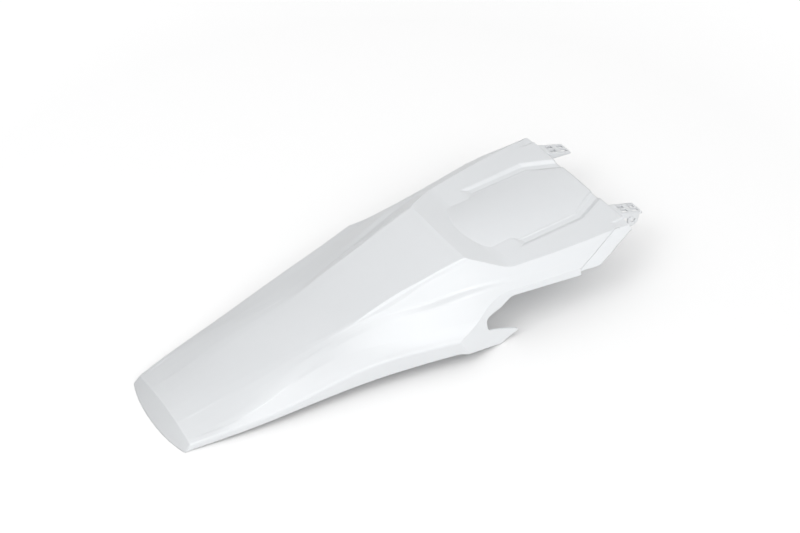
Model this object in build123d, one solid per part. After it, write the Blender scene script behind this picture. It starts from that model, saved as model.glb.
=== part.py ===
from build123d import *

import os
from math import atan, cos, degrees, hypot, radians, sin, tan
from typing import NamedTuple

# Motorcycle rear fender: one thin moulded shell, open below, with a hooked cut-out in each side
# and two tabs in front. x runs across it, y forward from the tail tip, z up from the ground it lies on.

# Lengths along the fender, from the tail tip to the ends of the front tabs
TAIL_LENGTH = 204.0
SPINE_LENGTH = 171.0
SEAT_LENGTH = 206.0
TAB_LENGTH = 39.0

# The wall, and the step where each front corner goes down to slip under a side panel
WALL = 2.6
STEP_DROP = 2.0

# The tail lip, which turns down at the rear crease
LIP_LENGTH = 16.7
LIP_ANGLE = 45.0

# Edge softness: how far each rounding reaches from its corner, and its largest share of a side
RIDGE_REACH = 2.4
LEDGE_REACH = 2.0
FLARE_REACH = 9.0
RIM_REACH = 2.2
SOFT_REACH = 60.0
REACH_SHARE = 0.45

# The groove beside each ridge of the spine, below a small step, which runs out where the ridge is soft
GROOVE_REAR_DEPTH = 2.6
GROOVE_FRONT_DEPTH = 1.3
GROOVE_REACH = 12.0
GROOVE_STEP_SLOPE = 0.87
GROOVE_FLOOR_SLOPE = 0.36
GROOVE_LIFT = 5.0

# The side wall below the rim
RIM_LEAN = 0.10
SKIRT_DEPTH = 30.0

# The seat: a ramp goes down from the spine to a level, where a crowned tongue lies in a shallow tray
SEAT_HEIGHT = 71.8
RAMP_SLOPE = 0.375
RAMP_BLEND = 45.0
TRAY_HALF_WIDTH = 62.0
TRAY_FRONT_HALF_WIDTH = 45.0
TRAY_LENGTH = 150.0
TRAY_REAR_DEPTH = 1.8
TRAY_DEPTH = 3.0
TRAY_WALL = 6.0
TONGUE_HALF_WIDTH = 49.0
TONGUE_FRONT_HALF_WIDTH = 30.0
TONGUE_LENGTH = 184.0
TONGUE_REAR_RISE = 5.4
TONGUE_REAR_CROWN = 7.0
TONGUE_MIDDLE_RISE = 3.2
TONGUE_MIDDLE_CROWN = 5.2
TONGUE_FRONT_RISE = -1.8
TONGUE_FRONT_CROWN = 1.6
TONGUE_RIM = 3.0
TONGUE_RIM_RISE = 0.8
MOUTH_LENGTH = 40.0

# The waist: two flat side faces lean out downwards and meet ahead of the ramp's top
SIDE_LEAN = 0.33
WAIST_FORWARD = 15.0
WAIST_HALF_WIDTH = 116.0
WAIST_TAPER_REAR = 0.19
WAIST_TAPER_FRONT = 0.145
WAIST_BLEND = 120.0

# The hem of the side wall, and the hook that the fender rests on, as heights above the ground
HEM_START = 8.0
HEM_KNEE = 139.0
HEM_KNEE_HEIGHT = 9.6
HEM_KNEE_RADIUS = 400.0
LOBE_BACKSET = 49.5
LOBE_HEIGHT = 17.0
LOBE_RADIUS = 20.0
HEEL_FORWARD = 8.5
HEEL_RADIUS = 3.0
HORN_LENGTH = 42.0
HORN_HEIGHT = 8.0
HORN_RADIUS = 1.0
THROAT_BACKSET = 6.0
THROAT_HEIGHT = 31.0
THROAT_GAP = 14.0
THROAT_RADIUS = 6.0
BROW_FORWARD = 17.0
BROW_HEIGHT = 42.0
ARCH_FORWARD = 33.0
ARCH_HEIGHT = 50.0
ARCH_END_HEIGHT = 46.5
ARCH_RADIUS = 16.0

# The flat plates at the front corners, measured back from the front edge and down from the seat
PLATE_LENGTH = 83.5
PLATE_STEP_DROP = 17.4
PLATE_DROP = 20.0
PLATE_POINT_BACKSET = 58.5
PLATE_POINT_DROP = 21.0
PLATE_POINT_RADIUS = 12.0
CORNER_DROP = 6.0
CORNER_LENGTH = 20.0
CORNER_HALF_WIDTH = 84.5

# The front tabs: plates with windows, on two webs, with an ear and its bore on the outer web
TAB_INNER = 58.7
TAB_OUTER = 77.8
TAB_DROP = 15.0
TAB_SET_DOWN = 0.5
TAB_THICKNESS = 2.4
TAB_COLUMNS = 2
TAB_ROWS = 2
TAB_WINDOW_WIDTH = 5.0
TAB_WINDOW_LENGTH = 9.6
TAB_CROSS_BAR = 7.0
TAB_FRONT_BAR = 3.2
WEB_ROOT = 14.0
WEB_DEPTH = 8.0
WEB_STRAIGHT = 15.0
EAR_RADIUS = 8.0
EAR_BORE_RADIUS = 3.2
EAR_BACKSET = 13.0
EAR_DROP = 13.0

SPINE_Y = TAIL_LENGTH
RAMP_Y = SPINE_Y + SPINE_LENGTH
FRONT_Y = RAMP_Y + SEAT_LENGTH
LENGTH = FRONT_Y + TAB_LENGTH
PLATE_Y = FRONT_Y - PLATE_LENGTH
BEYOND = 40.0
WIDE = LENGTH


class Rib(NamedTuple):
    """One cross-section of the skin: its corners as (half width, height), from the middle outwards."""

    y: float
    crest: float
    ridge: tuple
    ledge_top: tuple
    ledge_foot: tuple
    flare: tuple
    rim: tuple
    sharpness: float


def stations(start, length, shares):
    """Evenly spaced places for the ribs along one stretch of the fender."""
    return [start + length * i / shares for i in range(shares + 1)]


TAIL = stations(LIP_LENGTH, TAIL_LENGTH - LIP_LENGTH, 3)
SPINE = stations(SPINE_Y, SPINE_LENGTH, 3)
SEAT = stations(RAMP_Y, SEAT_LENGTH + BEYOND, 4)
RAMP_RIB = Rib(SEAT[0], 88.0, (54.2, 87.4), (80, 64.6), (88, 62.6), (115, 40), (129, 33.6), 1.0)
RIBS = [
    Rib(TAIL[0], 16.8, (24, 15.6), (38, 13.4), (50, 10.6), (56, 8.8), (60.6, 7), 0.0),
    Rib(TAIL[1], 26.8, (28, 25.5), (41, 23.3), (61, 18.6), (68, 15.6), (73.3, 12.6), 0.0),
    Rib(TAIL[2], 37.0, (33, 35.7), (42, 34.2), (55, 31.4), (69, 26), (82.2, 20.1), 0.0),
    Rib(SPINE[0], 47.9, (38, 45.9), (42.5, 44.5), (50, 43), (73, 36.2), (89.3, 30.9), 0.4),
    Rib(SPINE[1], 62.0, (45.0, 61.5), (51.0, 55.4), (59.5, 51.7), (86.8, 38.8), (99.9, 34.6), 1.0),
    Rib(SPINE[2], 76.4, (48.8, 75.8), (66.2, 58.8), (75.7, 56.4), (101.6, 39.5), (114.6, 34.3), 1.0),
    RAMP_RIB,
    Rib(SEAT[1], 94.0, (57.0, 93.2), (94, 63.7), (98.5, 60.4), (122.5, 42.5), (138.5, 34.5), 1.0),
    Rib(SEAT[2], 96.5, (61, 95.5), (101.7, 64), (105.7, 60.9), (129.5, 43), (145, 35), 1.0),
    Rib(SEAT[3], 97.0, (65.5, 96), (106.3, 64), (110.3, 60.9), (134.5, 43), (150, 35), 1.0),
    Rib(SEAT[4], 97.0, (73, 96), (114, 64), (118, 60.9), (142, 43), (158, 35), 1.0),
]


def continued(rib, neighbour):
    """The rib that would lie past a first rib, in line with it and its neighbour."""
    corners = [tuple(2 * a - b for a, b in zip(*pair)) for pair in zip(rib[2:7], neighbour[2:7])]
    return Rib(2 * rib.y - neighbour.y, 2 * rib.crest - neighbour.crest, *corners, rib.sharpness)


def offset_line(points, distance):
    """Move an open line of (across, up) points to its right-hand side, with mitred corners."""
    normals = []
    for (x0, z0), (x1, z1) in zip(points, points[1:]):
        run = hypot(x1 - x0, z1 - z0)
        normals.append(((z1 - z0) / run, (x0 - x1) / run))
    moved = []
    for i, (x, z) in enumerate(points):
        nx, nz = normals[max(i - 1, 0)]
        mx, mz = normals[min(i, len(normals) - 1)]
        share = distance / (1 + nx * mx + nz * mz)
        moved.append((x + (nx + mx) * share, z + (nz + mz) * share))
    return moved


def rib_wire(rib, inset):
    """The closed outline of one cross-section, moved inwards by inset, with its corners rounded."""
    soft = SOFT_REACH * (1 - rib.sharpness)
    half = [rib.ridge, rib.ledge_top, rib.ledge_foot, rib.flare, rib.rim]
    rim_reach = max(RIM_REACH - inset, 0)
    reaches = [soft + RIDGE_REACH, soft + LEDGE_REACH, soft + LEDGE_REACH, soft + FLARE_REACH, rim_reach]
    rim_x, rim_z = rib.rim
    half.append((rim_x + RIM_LEAN * (rim_z + SKIRT_DEPTH), -SKIRT_DEPTH))
    left = [(-x, z) for x, z in reversed(half)]
    line = offset_line(left + [(0, rib.crest)] + half, inset)
    corners = [Vector(x, rib.y, z) for x, z in line]
    edges = []
    start = corners[0]
    for i, reach in enumerate([*reversed(reaches), SOFT_REACH, *reaches], start=1):
        back = corners[i - 1] - corners[i]
        ahead = corners[i + 1] - corners[i]
        reach = min(reach, REACH_SHARE * back.length, REACH_SHARE * ahead.length)
        if not reach:
            edges.append(Line(start, corners[i]))
            start = corners[i]
            continue
        entry = corners[i] + back.normalized() * reach
        leave = corners[i] + ahead.normalized() * reach
        edges += [Line(start, entry), Bezier(entry, corners[i], leave)]
        start = leave
    edges += [Line(start, corners[-1]), Line(corners[-1], corners[0])]
    return Wire(edges)


def skin(inset):
    """The full form before the seat is let in: lofted ribs as far as the rear crease, and the lip there."""
    crease_y = LIP_LENGTH + inset * tan(radians(LIP_ANGLE) / 2)
    ribs = [continued(RIBS[0], RIBS[1]), *RIBS, continued(RIBS[-1], RIBS[-2])]
    body = Solid.make_loft([rib_wire(rib, inset) for rib in ribs])
    body -= Pos(0, crease_y - WIDE, 0) * Box(2 * WIDE, 2 * WIDE, 2 * WIDE)
    rear = body.faces().sort_by(Axis.Y)[0]
    fall = Vector(0, -cos(radians(LIP_ANGLE)), -sin(radians(LIP_ANGLE)))
    return body + extrude(rear, amount=2 * LIP_LENGTH, dir=fall)


def ridge_groove(inset):
    """What is taken away beside each ridge: it stays above the skin where the ridge is soft."""
    wires = []
    for rib in RIBS:
        if SPINE_Y <= rib.y <= SEAT[1]:
            x, z = rib.ridge
            along = (rib.y - SPINE_Y) / SPINE_LENGTH
            depth = GROOVE_REAR_DEPTH + along * (GROOVE_FRONT_DEPTH - GROOVE_REAR_DEPTH)
            foot = z - depth + GROOVE_LIFT * (1 - rib.sharpness)
            step = (x - GROOVE_REACH, foot + GROOVE_STEP_SLOPE * GROOVE_REACH)
            brink = (x + GROOVE_REACH, foot - rib.sharpness * GROOVE_FLOOR_SLOPE * GROOVE_REACH)
            line = offset_line([step, (x, foot), brink], inset)
            line.append((line[-1][0], line[0][1]))
            wires.append(Wire.make_polygon([Vector(x, rib.y, z) for x, z in line]))
    return both_sides(Solid.make_loft(wires))


def closed_face(*curves):
    """The flat face inside curves that follow each other round."""
    return Face(Wire([edge for curve in curves for edge in curve.edges()]))


def across(outline, left=-WIDE, right=WIDE):
    """A prism across the fender, from an upright outline in the middle plane."""
    return extrude(Pos(left, 0, 0) * outline, amount=right - left, dir=(1, 0, 0))


def side_outline(*corners):
    """An upright face from corners (y, z) or, where a corner is rounded, (y, z, radius)."""
    radii = [rest[0] if rest else 0 for _, _, *rest in corners]
    points = [Vector(0, y, z) for y, z, *_ in corners]
    return closed_face(FilletPolyline(*points, radius=radii, close=True))


def both_sides(solid):
    return solid + mirror(solid, Plane.YZ)


def seat_cut(inset):
    """What is taken away above the ramp and the seat level."""
    level = SEAT_HEIGHT - inset
    drop = RAMP_RIB.crest - SEAT_HEIGHT
    foot_y = RAMP_Y + drop / RAMP_SLOPE - inset * tan(atan(RAMP_SLOPE) / 2)
    back_y = foot_y - 2 * drop / RAMP_SLOPE
    front_y = LENGTH + BEYOND
    floor = [(back_y, level + 2 * drop), (foot_y, level, RAMP_BLEND), (front_y, level)]
    return across(side_outline(*floor, (front_y, WIDE), (back_y, WIDE)))


def mouth_outline(half_width, front_half_width, length, height, grow=0.0):
    """Plan outline that is straight at the rear and narrows to the front edge over the mouth's length."""
    rear_y = FRONT_Y - length - grow
    kink_y = FRONT_Y - MOUTH_LENGTH
    front_y = FRONT_Y + MOUTH_LENGTH
    narrow = 2 * front_half_width - half_width
    right = [(half_width + grow, rear_y), (half_width + grow, kink_y), (narrow + grow, front_y)]
    points = right + [(-x, y) for x, y in reversed(right)]
    return Wire.make_polygon([Vector(x, y, height) for x, y in points])


def tray_cut(inset):
    """The shallow tray, whose floor falls towards the front edge, less the low step of the tongue's rim."""
    level = SEAT_HEIGHT - TRAY_REAR_DEPTH - inset
    rise = 4 * TRAY_DEPTH
    spread = rise * TRAY_WALL / TRAY_DEPTH
    plan = (TRAY_HALF_WIDTH - TRAY_WALL, TRAY_FRONT_HALF_WIDTH - TRAY_WALL, TRAY_LENGTH)
    lines = [mouth_outline(*plan, level), mouth_outline(*plan, level + rise, spread)]
    rim_plan = [size - inset for size in (TONGUE_HALF_WIDTH, TONGUE_FRONT_HALF_WIDTH, TONGUE_LENGTH)]
    rim_lines = [
        mouth_outline(*rim_plan, level - TONGUE_RIM_RISE, TONGUE_RIM_RISE),
        mouth_outline(*rim_plan, level + TONGUE_RIM_RISE, -TONGUE_RIM_RISE),
    ]
    tray = Solid.make_loft(lines, ruled=True) - Solid.make_loft(rim_lines, ruled=True)
    hinge = Axis((0, FRONT_Y - TRAY_LENGTH, level), (1, 0, 0))
    return tray.rotate(hinge, -degrees(atan((TRAY_DEPTH - TRAY_REAR_DEPTH) / TRAY_LENGTH)))


def tongue(inset):
    """The crowned tongue: an arched sheet, cut to its plan outline inside the rim."""
    rear_y = FRONT_Y - TONGUE_LENGTH
    base = SEAT_HEIGHT - 8 * TRAY_DEPTH
    arches = [
        (rear_y, TONGUE_REAR_RISE, TONGUE_REAR_CROWN),
        (rear_y + 0.5 * TONGUE_LENGTH, TONGUE_MIDDLE_RISE, TONGUE_MIDDLE_CROWN),
        (FRONT_Y + BEYOND, TONGUE_FRONT_RISE, TONGUE_FRONT_CROWN),
    ]
    wires = []
    for y, rise, crown in arches:
        top = SEAT_HEIGHT + rise - inset
        left, right = (Vector(x, y, top - crown) for x in (-TONGUE_HALF_WIDTH, TONGUE_HALF_WIDTH))
        arch = ThreePointArc(left, Vector(0, y, top), right)
        foot = Polyline(right, Vector(right.X, y, base), Vector(left.X, y, base), left)
        wires.append(closed_face(arch, foot).outer_wire())
    edge = TONGUE_RIM + inset
    sizes = [size - edge for size in (TONGUE_HALF_WIDTH, TONGUE_FRONT_HALF_WIDTH, TONGUE_LENGTH)]
    return Solid.make_loft(wires) & extrude(Face(mouth_outline(*sizes, base)), amount=WIDE, dir=(0, 0, 1))


def waist_cut(inset):
    """The wedges outside the two leaning side faces on each side, up to the front plates."""
    waist_y = RAMP_Y + WAIST_FORWARD
    rear_y = SPINE_Y + 0.5 * SPINE_LENGTH
    half = WAIST_HALF_WIDTH - inset
    low = -2 * SKIRT_DEPTH
    points = [
        (half + WAIST_TAPER_REAR * (waist_y - rear_y), rear_y),
        (half, waist_y),
        (half + WAIST_TAPER_FRONT * (PLATE_Y - waist_y), PLATE_Y),
        (WIDE, PLATE_Y),
        (WIDE, rear_y),
    ]
    corners = [Vector(x - SIDE_LEAN * low, y, low) for x, y in points]
    outline = closed_face(FilletPolyline(*corners, radius=[0, WAIST_BLEND, 0, 0, 0], close=True))
    lean = Vector(-SIDE_LEAN, 0, 1)
    return both_sides(extrude(outline, amount=WIDE * lean.length, dir=lean))


def corner_region():
    """The front corners, outside a slanting line on each side, that lie one step lower."""
    front_y = LENGTH + BEYOND
    corner_y = FRONT_Y - CORNER_LENGTH
    slant = [(PLATE_Y, SEAT_HEIGHT - PLATE_STEP_DROP), (corner_y, SEAT_HEIGHT)]
    outline = side_outline((PLATE_Y, -WIDE), *slant, (corner_y, WIDE), (front_y, WIDE), (front_y, -WIDE))
    return both_sides(across(outline, left=CORNER_HALF_WIDTH))


def form(inset):
    """The fender's full form, moved inwards by inset: the outside at no inset, the hollow at the wall's."""
    level = skin(inset) - ridge_groove(inset) - seat_cut(inset)
    level = level - tray_cut(inset) + tongue(inset) - waist_cut(inset)
    corners = corner_region()
    return (level - corners) + (Pos(0, 0, -STEP_DROP) * level & corners)


def hem_cut():
    """What is taken away below the side walls: hem, hook, arch and front plates, as one side view."""
    front_y = LENGTH + BEYOND
    low = -2 * SKIRT_DEPTH
    throat_y = RAMP_Y - THROAT_BACKSET
    hem = [(-BEYOND, 0), (HEM_START, 0), (HEM_KNEE, HEM_KNEE_HEIGHT, HEM_KNEE_RADIUS)]
    hook = [
        (RAMP_Y - LOBE_BACKSET, LOBE_HEIGHT, LOBE_RADIUS),
        (RAMP_Y + HEEL_FORWARD, 0, HEEL_RADIUS),
        (throat_y + HORN_LENGTH, HORN_HEIGHT, HORN_RADIUS),
        (throat_y, THROAT_HEIGHT - 0.5 * THROAT_GAP, THROAT_RADIUS),
        (throat_y, THROAT_HEIGHT + 0.5 * THROAT_GAP, THROAT_RADIUS),
    ]
    arch = [
        (RAMP_Y + BROW_FORWARD, BROW_HEIGHT, ARCH_RADIUS),
        (RAMP_Y + ARCH_FORWARD, ARCH_HEIGHT, ARCH_RADIUS),
        (PLATE_Y, ARCH_END_HEIGHT),
    ]
    plate = [
        (PLATE_Y, SEAT_HEIGHT - PLATE_DROP),
        (FRONT_Y - PLATE_POINT_BACKSET, SEAT_HEIGHT - PLATE_POINT_DROP, PLATE_POINT_RADIUS),
        (FRONT_Y, SEAT_HEIGHT - CORNER_DROP),
        (front_y, SEAT_HEIGHT - CORNER_DROP),
    ]
    return across(side_outline(*hem, *hook, *arch, *plate, (front_y, low), (-BEYOND, low)))


def tab_top(y):
    """Height of a tab's upper face, which falls away from the seat's front edge."""
    return SEAT_HEIGHT - TAB_SET_DOWN - TAB_DROP * (y - FRONT_Y) / TAB_LENGTH


def tab():
    """The right-hand tab, rooted in the seat's front edge."""
    root_y = FRONT_Y - 0.5 * WALL
    seat_middle = SEAT_HEIGHT - 0.5 * WALL
    plate = across(
        side_outline(
            (root_y, tab_top(root_y)),
            (LENGTH, tab_top(LENGTH)),
            (LENGTH, tab_top(LENGTH) - TAB_THICKNESS),
            (root_y, tab_top(root_y) - TAB_THICKNESS),
        ),
        TAB_INNER,
        TAB_OUTER,
    )
    bar = (TAB_OUTER - TAB_INNER - TAB_COLUMNS * TAB_WINDOW_WIDTH) / (TAB_COLUMNS + 1)
    window = Box(TAB_WINDOW_WIDTH, TAB_WINDOW_LENGTH, 2 * TAB_DROP)
    for column in range(TAB_COLUMNS):
        window_x = TAB_INNER + bar + 0.5 * TAB_WINDOW_WIDTH + column * (bar + TAB_WINDOW_WIDTH)
        for row in range(TAB_ROWS):
            behind = 0.5 * TAB_WINDOW_LENGTH + row * (TAB_CROSS_BAR + TAB_WINDOW_LENGTH)
            window_y = LENGTH - TAB_FRONT_BAR - behind
            plate -= Pos(window_x, window_y, tab_top(window_y)) * window

    straight_y = FRONT_Y + WEB_STRAIGHT
    web = side_outline(
        (FRONT_Y - WEB_ROOT, seat_middle),
        (root_y, seat_middle),
        (LENGTH, tab_top(LENGTH) - 0.5 * TAB_THICKNESS),
        (LENGTH, tab_top(LENGTH) - TAB_THICKNESS),
        (straight_y, tab_top(straight_y) - WEB_DEPTH),
        (FRONT_Y - WEB_ROOT, seat_middle - WEB_DEPTH),
    )
    outer_x = TAB_OUTER - TAB_THICKNESS
    webs = across(web, TAB_INNER, TAB_INNER + TAB_THICKNESS) + across(web, outer_x, TAB_OUTER)

    ear_y = LENGTH - EAR_BACKSET
    ear_z = tab_top(ear_y) - EAR_DROP
    ear_foot = [(ear_y + side * EAR_RADIUS, tab_top(LENGTH) - 0.5 * TAB_THICKNESS) for side in (-1, 1)]
    ear_plate = side_outline(*ear_foot, (ear_y + EAR_RADIUS, ear_z), (ear_y - EAR_RADIUS, ear_z))
    ear_turn = Pos(outer_x + 0.5 * TAB_THICKNESS, ear_y, ear_z) * Rot(0, 90, 0)
    ear = across(ear_plate, outer_x, TAB_OUTER) + ear_turn * Cylinder(EAR_RADIUS, TAB_THICKNESS)
    return plate + webs + ear - ear_turn * Cylinder(EAR_BORE_RADIUS, 2 * TAB_THICKNESS)


def fender():
    """The moulded piece: the outside less its hollow, trimmed at the front and the hem, with its tabs."""
    outside = form(0) & Box(2 * WIDE, 2 * FRONT_Y, 2 * WIDE)
    shell = outside - form(WALL) - hem_cut()
    return Pos(0, -LENGTH / 2, 0) * (shell + both_sides(tab()))


os.makedirs("parts", exist_ok=True)
export_step(fender(), "parts/rear_fender.step")
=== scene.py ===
import math

import bmesh
import bpy
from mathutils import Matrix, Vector


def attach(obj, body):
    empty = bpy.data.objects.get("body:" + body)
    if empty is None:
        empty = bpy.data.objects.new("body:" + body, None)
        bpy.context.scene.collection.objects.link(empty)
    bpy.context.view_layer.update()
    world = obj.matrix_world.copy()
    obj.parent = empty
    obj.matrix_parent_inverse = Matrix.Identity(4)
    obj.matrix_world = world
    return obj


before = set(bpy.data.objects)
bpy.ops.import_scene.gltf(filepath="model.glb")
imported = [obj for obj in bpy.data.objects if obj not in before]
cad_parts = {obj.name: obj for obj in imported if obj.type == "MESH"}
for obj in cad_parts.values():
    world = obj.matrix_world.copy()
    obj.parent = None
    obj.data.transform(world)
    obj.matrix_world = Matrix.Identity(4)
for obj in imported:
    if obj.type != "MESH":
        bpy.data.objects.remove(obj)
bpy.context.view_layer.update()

# The fender is one injection-moulded shell of polypropylene, white right through, 2.6 mm thick.
# A polished mould leaves the skin satin, with a faint grain, slow waves and softly broken edges,
# which are rounder in the tray of the seat than elsewhere.
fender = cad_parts["rear_fender"]
skin_white = (0.825, 0.842, 0.858, 1)
deep_white = (0.803, 0.822, 0.840, 1)
least_rough, most_rough = 0.26, 0.38
waves_per_metre = 9
grain_per_metre = 1400
grain_depth = 0.0002
grain_strength = 0.06
edge_radius = 0.0008
tray_radius = 0.0025
tray_sides = (0.066, 0.062)
tray_begins = (0.118, 0.124)

polypropylene = bpy.data.materials.new("white_polypropylene")
polypropylene.use_nodes = True
nodes, links = polypropylene.node_tree.nodes, polypropylene.node_tree.links
plastic = nodes["Principled BSDF"]
plastic.inputs["IOR"].default_value = 1.49
plastic.inputs["Subsurface Weight"].default_value = 0.12
plastic.inputs["Subsurface Radius"].default_value = (1.0, 1.0, 1.0)
plastic.inputs["Subsurface Scale"].default_value = 0.002

place = nodes.new("ShaderNodeTexCoord")
waves = nodes.new("ShaderNodeTexNoise")
waves.inputs["Scale"].default_value = waves_per_metre
waves.inputs["Detail"].default_value = 2
links.new(place.outputs["Object"], waves.inputs["Vector"])
tint = nodes.new("ShaderNodeMix")
tint.data_type = "RGBA"
tint.inputs["A"].default_value = skin_white
tint.inputs["B"].default_value = deep_white
links.new(waves.outputs["Fac"], tint.inputs["Factor"])
links.new(tint.outputs["Result"], plastic.inputs["Base Color"])

gloss = nodes.new("ShaderNodeMapRange")
gloss.inputs["To Min"].default_value = least_rough
gloss.inputs["To Max"].default_value = most_rough
links.new(waves.outputs["Fac"], gloss.inputs["Value"])
links.new(gloss.outputs["Result"], plastic.inputs["Roughness"])

position = nodes.new("ShaderNodeSeparateXYZ")
links.new(place.outputs["Object"], position.inputs["Vector"])
sideways = nodes.new("ShaderNodeMath")
sideways.operation = "ABSOLUTE"
links.new(position.outputs["X"], sideways.inputs[0])
in_tray = nodes.new("ShaderNodeMapRange")
in_tray.inputs["From Min"].default_value, in_tray.inputs["From Max"].default_value = tray_sides
links.new(sideways.outputs["Value"], in_tray.inputs["Value"])
in_seat = nodes.new("ShaderNodeMapRange")
in_seat.inputs["From Min"].default_value, in_seat.inputs["From Max"].default_value = tray_begins
in_seat.inputs["To Max"].default_value = tray_radius - edge_radius
links.new(position.outputs["Y"], in_seat.inputs["Value"])
softness = nodes.new("ShaderNodeMath")
softness.operation = "MULTIPLY_ADD"
softness.inputs[2].default_value = edge_radius
links.new(in_tray.outputs["Result"], softness.inputs[0])
links.new(in_seat.outputs["Result"], softness.inputs[1])
edges = nodes.new("ShaderNodeBevel")
edges.samples = 8
links.new(softness.outputs["Value"], edges.inputs["Radius"])

grain = nodes.new("ShaderNodeTexNoise")
grain.inputs["Scale"].default_value = grain_per_metre
links.new(place.outputs["Object"], grain.inputs["Vector"])
bump = nodes.new("ShaderNodeBump")
bump.inputs["Strength"].default_value = grain_strength
bump.inputs["Distance"].default_value = grain_depth
links.new(grain.outputs["Fac"], bump.inputs["Height"])
links.new(edges.outputs["Normal"], bump.inputs["Normal"])
links.new(bump.outputs["Normal"], plastic.inputs["Normal"])

fender.data.materials.clear()
fender.data.materials.append(polypropylene)

# The mould runs out softly where the tray ends behind and where the front corners step down. These
# blends belong to the one moulded piece, so they take its plastic and lie flush in its skin. Their
# tops have no edges to break, so their plastic goes without the softened ones.
seat_top = 0.07182
inside_wall = 0.0695
tray_fall = 0.00225
corner_fall = 0.0021
tray_width = (0.0409, 0.0650)
tray_length = (0.1150, 0.1550)
tray_run_out = (0.1390, 0.0140)
corner_width = (0.0840, 0.0962)
corner_length = (0.2435, 0.2708)
corner_run_out = (0.2505, 0.0140)
corner_side = (0.0845, 0.0030)
steps_across, steps_along = 24, 40
sharp_angle = math.radians(40)


def run_out(value, begin_and_length):
    begin, length = begin_and_length
    share = min(max((value - begin) / length, 0), 1)
    return 0.5 + 0.5 * math.cos(math.pi * share)


def tray_end(x, y):
    return seat_top - tray_fall * (1 - run_out(y, tray_run_out))


def front_corner(x, y):
    behind, beside = run_out(y, corner_run_out), run_out(x, corner_side)
    return seat_top - corner_fall * (1 - max(behind, beside))


def add_blend(shape, side, width, length, height):
    rows = []
    for j in range(steps_along + 1):
        y = length[0] + (length[1] - length[0]) * j / steps_along
        row = []
        for i in range(steps_across + 1):
            x = width[0] + (width[1] - width[0]) * i / steps_across
            top = shape.verts.new((side * x, y, height(x, y)))
            base = shape.verts.new((side * x, y, inside_wall))
            row.append((top, base))
        rows.append(row)
    for j in range(steps_along):
        for i in range(steps_across):
            loop = [rows[j][i], rows[j][i + 1], rows[j + 1][i + 1], rows[j + 1][i]]
            for level in range(2):
                shape.faces.new([corner[level] for corner in loop])
    border = rows[0][:-1] + [row[-1] for row in rows[:-1]]
    border += rows[-1][:0:-1] + [row[0] for row in rows[:0:-1]]
    for a, b in zip(border, border[1:] + border[:1]):
        shape.faces.new((a[0], b[0], b[1], a[1]))


shape = bmesh.new()
for side in (1, -1):
    add_blend(shape, side, tray_width, tray_length, tray_end)
    add_blend(shape, side, corner_width, corner_length, front_corner)
bmesh.ops.recalc_face_normals(shape, faces=shape.faces)
mesh = bpy.data.meshes.new("mould_blends")
shape.to_mesh(mesh)
shape.free()
mesh.shade_smooth()
mesh.set_sharp_from_angle(angle=sharp_angle)

blend_skin = polypropylene.copy()
for link in list(blend_skin.node_tree.links):
    if link.from_node.bl_idname == "ShaderNodeBevel":
        blend_skin.node_tree.links.remove(link)
mesh.materials.append(blend_skin)
blends = bpy.data.objects.new("mould_blends", mesh)
bpy.context.scene.collection.objects.link(blends)
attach(blends, "root")

# The floor is a wide sheet of white card, which keeps the fender's shadow. What looks straight at it
# sees it glow a little, and more towards the horizon, where the lamps don't reach; for the light that
# it throws back up it stays plain card.
floor_size = 14
floor_gap = 0.0004
card_white = (0.85, 0.85, 0.85, 1)
glow_begins, glow_ends = 0.6, 4.0
near_glow, far_glow = 0.04, 0.80


def seen_directly(nodes, links):
    path = nodes.new("ShaderNodeLightPath")
    seen = path.outputs["Is Camera Ray"]
    for ray in ("Is Glossy Ray", "Is Transmission Ray"):
        either = nodes.new("ShaderNodeMath")
        either.operation = "MAXIMUM"
        links.new(seen, either.inputs[0])
        links.new(path.outputs[ray], either.inputs[1])
        seen = either.outputs["Value"]
    return seen


bpy.ops.mesh.primitive_plane_add(size=floor_size, location=(0, 0, -floor_gap))
floor = bpy.context.object
floor.name = "floor"
card = bpy.data.materials.new("white_card")
card.use_nodes = True
nodes, links = card.node_tree.nodes, card.node_tree.links
paper = nodes["Principled BSDF"]
paper.inputs["Base Color"].default_value = card_white
paper.inputs["Roughness"].default_value = 0.9
paper.inputs["Specular IOR Level"].default_value = 0.0
paper.inputs["Emission Color"].default_value = (1, 1, 1, 1)
place = nodes.new("ShaderNodeTexCoord")
distance = nodes.new("ShaderNodeVectorMath")
distance.operation = "LENGTH"
links.new(place.outputs["Object"], distance.inputs[0])
far = nodes.new("ShaderNodeMapRange")
far.inputs["From Min"].default_value = glow_begins
far.inputs["From Max"].default_value = glow_ends
far.inputs["To Min"].default_value = near_glow
far.inputs["To Max"].default_value = far_glow
links.new(distance.outputs["Value"], far.inputs["Value"])
glow = nodes.new("ShaderNodeMath")
glow.operation = "MULTIPLY"
links.new(seen_directly(nodes, links), glow.inputs[0])
links.new(far.outputs["Result"], glow.inputs[1])
links.new(glow.outputs["Value"], paper.inputs["Emission Strength"])
floor.data.materials.append(card)

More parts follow.
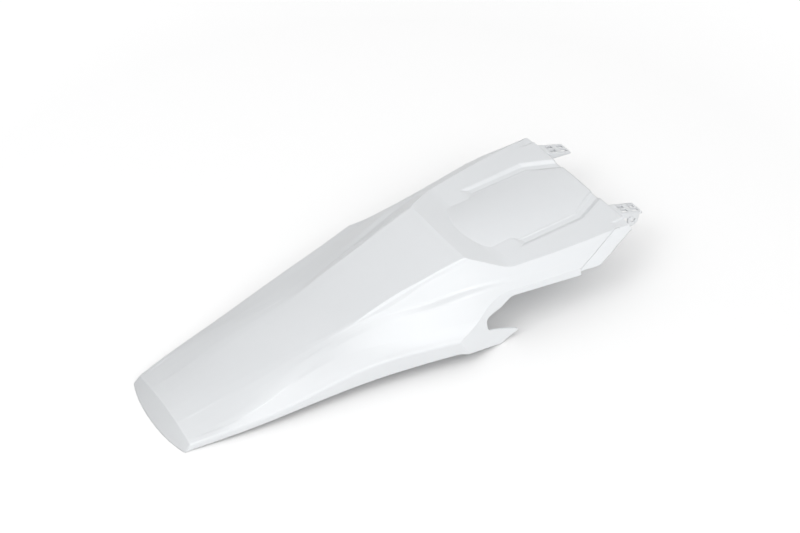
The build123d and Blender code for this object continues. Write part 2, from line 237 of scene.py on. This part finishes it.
# The room is white for what looks straight at it. The light it gives is dim, and dimmer from the
# left, where a dark wall stands, than from the right.
left_light, right_light = 0.20, 0.36
room = bpy.data.worlds.new("room")
bpy.context.scene.world = room
room.use_nodes = True
nodes, links = room.node_tree.nodes, room.node_tree.links
backdrop = nodes["Background"]
backdrop.inputs["Color"].default_value = (1, 1, 1, 1)
place = nodes.new("ShaderNodeTexCoord")
across = nodes.new("ShaderNodeSeparateXYZ")
links.new(place.outputs["Generated"], across.inputs["Vector"])
walls = nodes.new("ShaderNodeMapRange")
walls.inputs["From Min"].default_value = -1
walls.inputs["To Min"].default_value = left_light
walls.inputs["To Max"].default_value = right_light
links.new(across.outputs["X"], walls.inputs["Value"])
level = nodes.new("ShaderNodeMath")
level.operation = "MAXIMUM"
links.new(seen_directly(nodes, links), level.inputs[0])
links.new(walls.outputs["Result"], level.inputs[1])
links.new(level.outputs["Value"], backdrop.inputs["Strength"])


# Soft boxes stand round the table, each flagged off from all but what it names. Three light the fender:
# one overhead, a large key above the right side that draws the highlights on the flanks, and a weak
# one on the left. Four light the floor, mostly from above and behind, so the shadow falls forward.
def soft_box(name, place, width, height, watts, lights):
    data = bpy.data.lights.new(name, "AREA")
    data.shape = "RECTANGLE"
    data.size, data.size_y = width, height
    data.energy = watts
    box = bpy.data.objects.new(name, data)
    bpy.context.scene.collection.objects.link(box)
    box.location = place
    box.rotation_euler = (-Vector(place)).to_track_quat("-Z", "Y").to_euler()
    box.visible_camera = False
    lit = bpy.data.collections.new("lit_by_" + name)
    for piece in lights:
        lit.objects.link(piece)
    box.light_linking.receiver_collection = lit


soft_box("overhead", (0.55, 0.3, 2.3), 0.8, 1.2, 16.5, [fender, blends])
soft_box("key", (1.25, -0.42, 1.5), 1.5, 1.5, 18.5, [fender, blends])
soft_box("left", (-1.15, 0.45, 1.55), 1.3, 1.3, 1.6, [fender, blends])
soft_box("table", (0, 0, 1.6), 7, 7, 99, [floor])
soft_box("behind", (0, -2.5, 3.1), 2.2, 2.2, 38, [floor])
soft_box("far_side", (-2.4, 0, 3.2), 2.2, 2.2, 8, [floor])
soft_box("near_side", (2.4, 0.6, 2.4), 2.2, 2.2, 20, [floor])

# The camera stands behind the fender's right side, about 1.7 m away, and looks down on it
# through a short telephoto lens.
focal_length = 67.5
sensor_width = 36
camera_place = (1.0408, -0.6833, 1.2286)
camera_tilt, camera_turn = math.radians(46.989), math.radians(56.166)
lens = bpy.data.cameras.new("camera")
lens.lens = focal_length
lens.sensor_width = sensor_width
camera = bpy.data.objects.new("camera", lens)
bpy.context.scene.collection.objects.link(camera)
camera.location = camera_place
camera.rotation_euler = (camera_tilt, 0, camera_turn)
bpy.context.scene.camera = camera
bpy.context.scene.view_settings.view_transform = "Standard"
